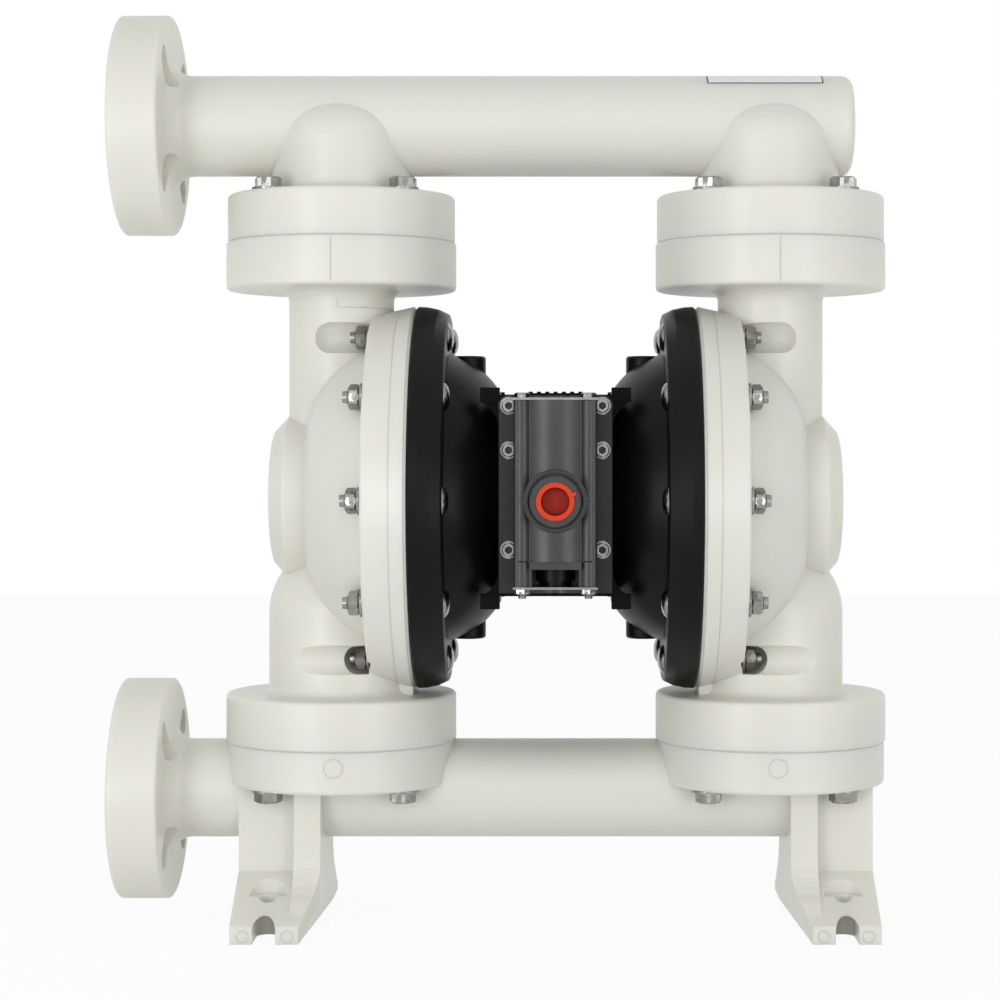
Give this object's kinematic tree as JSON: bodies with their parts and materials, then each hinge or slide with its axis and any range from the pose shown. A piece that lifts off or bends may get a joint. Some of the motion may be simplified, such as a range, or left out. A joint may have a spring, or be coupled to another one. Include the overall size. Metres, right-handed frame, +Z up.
{
  "type": "air-operated diaphragm pump",
  "caption": "Plastic double-diaphragm pump driven by compressed air, with flanged side ports, ball check valves, a central air valve and slotted feet.",
  "frame": {"origin": "on the floor plane, midway between the four foot slots, under the middle of the air motor", "axes": "+Z up; +X from the port flanges towards the closed ends of the pipes, along the diaphragm axis; -Y out of the air inlet, towards the front"},
  "size_m": [0.5745, 0.2973, 0.6834],
  "materials": {
    "pp_natural": "natural milky polypropylene, semi-gloss",
    "pp_black": "black glass-filled polypropylene, satin",
    "valve_black": "dark grey glass-filled plastic with a fine grain",
    "stainless": "plain stainless fasteners",
    "diaphragm_rubber": "black moulded rubber",
    "nitrile": "black nitrile rubber",
    "washer_aluminium": "plain turned aluminium",
    "spool_aluminium": "hard anodised",
    "bush_brass": "turned brass",
    "plug_red": "orange-red moulded plastic",
    "ball_ptfe": "white fluoropolymer",
    "seal_ptfe": "white fluoropolymer cord"
  },
  "bodies": {
    "pump": {"inlet_manifold": "pp_natural", "outlet_manifold": "pp_natural", "fluid_cap_left": "pp_natural", "fluid_cap_right": "pp_natural", "air_cap_left": "pp_black", "air_cap_right": "pp_black", "motor_body": "pp_black", "motor_hub_seals": "nitrile", "air_cap_screws": "stainless", "diaphragm_left": "diaphragm_rubber", "diaphragm_right": "diaphragm_rubber", "rod_bushes": "bush_brass", "rod_seals": "nitrile", "pilot_bushes": "bush_brass", "valve_block": "valve_black", "valve_gasket": "nitrile", "valve_sleeve": "stainless", "valve_top_plug": "valve_black", "valve_end_cap": "valve_black", "valve_end_plug": "valve_black", "valve_plate_top": "stainless", "valve_plate_bottom": "stainless", "valve_tie_bolts": "stainless", "valve_tie_nuts": "stainless", "valve_screws": "stainless", "valve_screw_washers": "stainless", "exhaust_muffler": "pp_black", "seat_inlet_left": "pp_natural", "seat_inlet_right": "pp_natural", "seat_outlet_left": "pp_natural", "seat_outlet_right": "pp_natural", "inlet_seals": "seal_ptfe", "outlet_seals": "seal_ptfe", "diaphragm_bolts_left": "stainless", "diaphragm_bolts_right": "stainless", "diaphragm_nuts_left": "stainless", "diaphragm_nuts_right": "stainless", "diaphragm_washers_left": "stainless", "diaphragm_washers_right": "stainless", "outlet_bolts": "stainless", "outlet_bolt_washers": "stainless", "outlet_inserts": "bush_brass", "inlet_bolts": "stainless", "inlet_bolt_washers": "stainless", "inlet_inserts": "bush_brass"},
    "rod_set": {"diaphragm_rod": "stainless", "inner_washer_left": "washer_aluminium", "inner_washer_right": "washer_aluminium", "outer_washer_left": "pp_natural", "outer_washer_right": "pp_natural", "rod_nut_left": "stainless", "rod_nut_right": "stainless"},
    "pilot": {"pilot_rod": "stainless"},
    "spool": {"valve_spool": "spool_aluminium", "spool_seals": "nitrile"},
    "inlet_ball_left": {"ball_inlet_left": "ball_ptfe"},
    "inlet_ball_right": {"ball_inlet_right": "ball_ptfe"},
    "outlet_ball_left": {"ball_outlet_left": "ball_ptfe"},
    "outlet_ball_right": {"ball_outlet_right": "ball_ptfe"},
    "plug": {"inlet_plug": "plug_red"}
  },
  "joints": [
    {"name": "diaphragm_stroke", "type": "slide", "parent": "pump", "child": "rod_set", "axis": [1, 0, 0], "range_m": [-0.019, 0.019], "stiffness_N_per_m": 1500, "deforming": ["diaphragm_left", "diaphragm_right"]},
    {"name": "pilot_slide", "type": "slide", "parent": "pump", "child": "pilot", "axis": [1, 0, 0], "range_m": [-0.008, 0.008]},
    {"name": "spool_slide", "type": "slide", "parent": "pump", "child": "spool", "axis": [0, 0, 1], "range_m": [0, 0.012]},
    {"name": "inlet_ball_left_lift", "type": "slide", "parent": "pump", "child": "inlet_ball_left", "axis": [0, 0, 1], "range_m": [0, 0.014]},
    {"name": "inlet_ball_right_lift", "type": "slide", "parent": "pump", "child": "inlet_ball_right", "axis": [0, 0, 1], "range_m": [0, 0.014]},
    {"name": "outlet_ball_left_lift", "type": "slide", "parent": "pump", "child": "outlet_ball_left", "axis": [0, 0, 1], "range_m": [0, 0.014]},
    {"name": "outlet_ball_right_lift", "type": "slide", "parent": "pump", "child": "outlet_ball_right", "axis": [0, 0, 1], "range_m": [0, 0.014]},
    {"name": "plug_pull", "type": "slide", "parent": "pump", "child": "plug", "axis": [0, -1, 0], "range_m": [0, 0.06]}
  ],
  "couplings": [
    {"joint": "pilot_slide", "follows": "diaphragm_stroke", "ratio": 0.42105}
  ]
}
